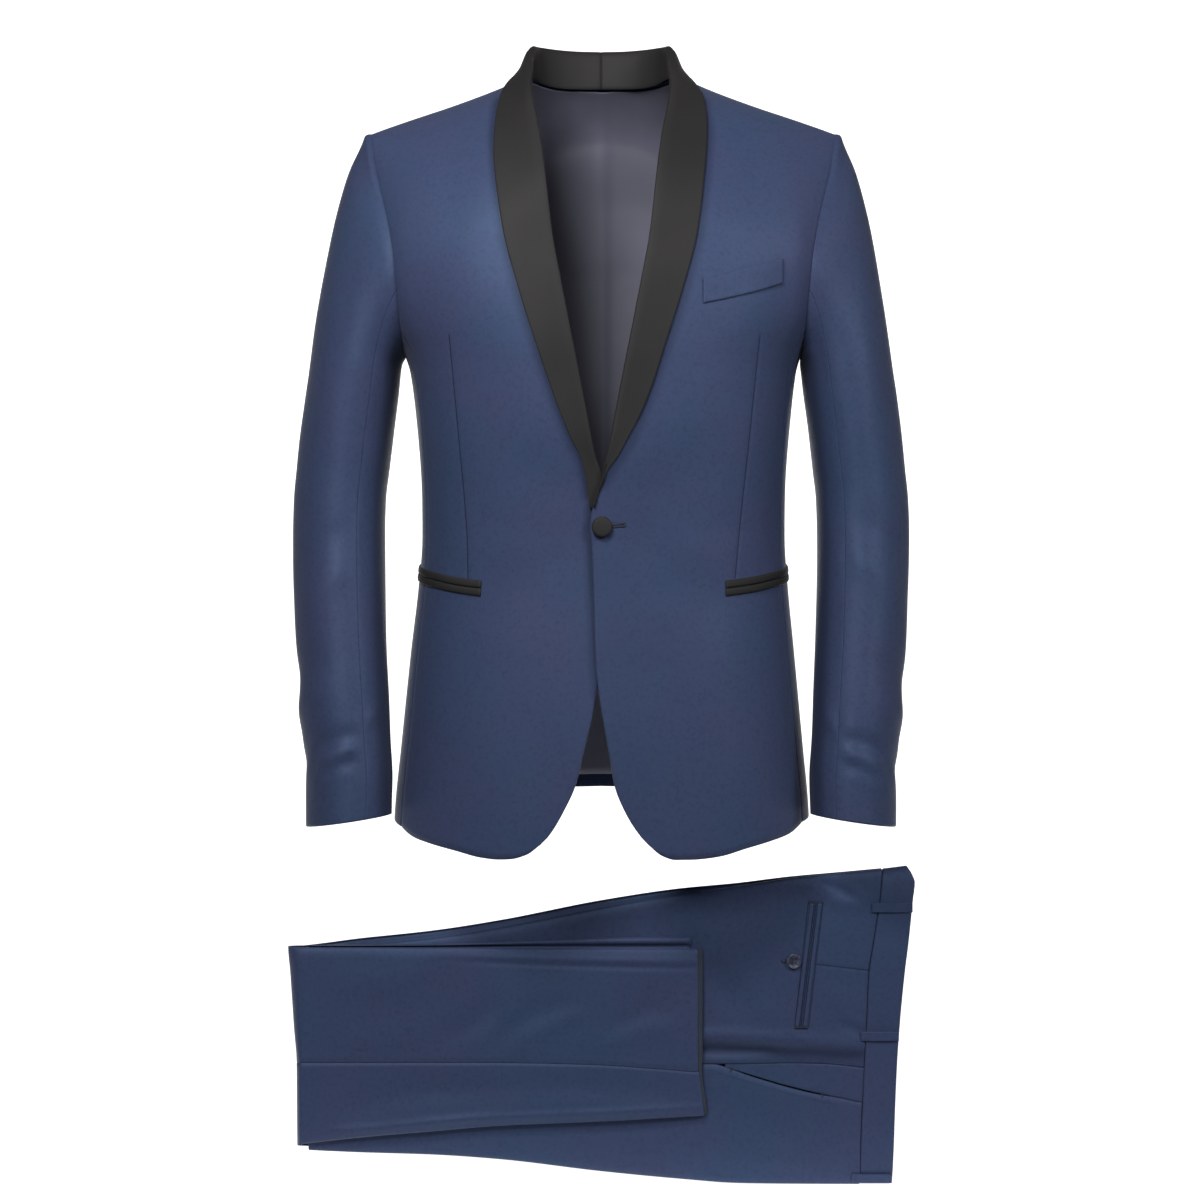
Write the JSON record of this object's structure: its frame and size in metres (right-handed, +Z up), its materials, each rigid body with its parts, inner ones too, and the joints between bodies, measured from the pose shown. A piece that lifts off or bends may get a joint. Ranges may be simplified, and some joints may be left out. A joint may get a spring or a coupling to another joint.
{
  "type": "tuxedo",
  "caption": "Tuxedo: dinner jacket with a satin shawl collar, filled out as when worn, and its matching trousers, folded flat.",
  "frame": {"origin": "base of the wearer's neck, midway between the shoulders, inside the collar", "axes": "+Z up along the wearer, -Y to the wearer's front, +X to the wearer's left"},
  "size_m": [0.6245, 0.2522, 1.1439],
  "materials": {
    "jacket_wool": "matt worsted wool",
    "trouser_wool": "matt worsted wool",
    "satin": "smooth satin",
    "lining": "smooth twill lining",
    "covered_button": "satin-covered button",
    "pocket_button": "polished plastic"
  },
  "bodies": {
    "root": {"front_left": "jacket_wool", "front_right": "jacket_wool", "back_left": "jacket_wool", "back_right": "jacket_wool", "side_panel_left": "jacket_wool", "side_panel_right": "jacket_wool", "top_sleeve_left": "jacket_wool", "top_sleeve_right": "jacket_wool", "under_sleeve_left": "jacket_wool", "under_sleeve_right": "jacket_wool", "breast_pocket_welt": "jacket_wool", "shawl_collar_left": "satin", "shawl_collar_right": "satin", "hip_pocket_jet_upper_left": "satin", "hip_pocket_jet_upper_right": "satin", "hip_pocket_jet_lower_left": "satin", "hip_pocket_jet_lower_right": "satin", "back_lining": "lining", "front_button": "covered_button", "right_leg_back": "trouser_wool", "right_leg_front": "trouser_wool", "pocket_facing": "trouser_wool", "left_leg_back": "trouser_wool", "left_leg_front": "trouser_wool", "upper_legs_hidden_layers": "trouser_wool", "lower_legs_hidden_layers": "trouser_wool", "waistband": "trouser_wool", "belt_loop_rear_left": "trouser_wool", "belt_loop_rear_right": "trouser_wool", "belt_loop_side_left": "trouser_wool", "belt_loop_side_right": "trouser_wool", "belt_loop_fore_left": "trouser_wool", "belt_loop_fore_right": "trouser_wool", "back_pocket_welt_upper": "trouser_wool", "back_pocket_welt_lower": "trouser_wool", "back_pocket_button_loop": "trouser_wool", "back_pocket_button": "pocket_button"}
  },
  "joints": []
}
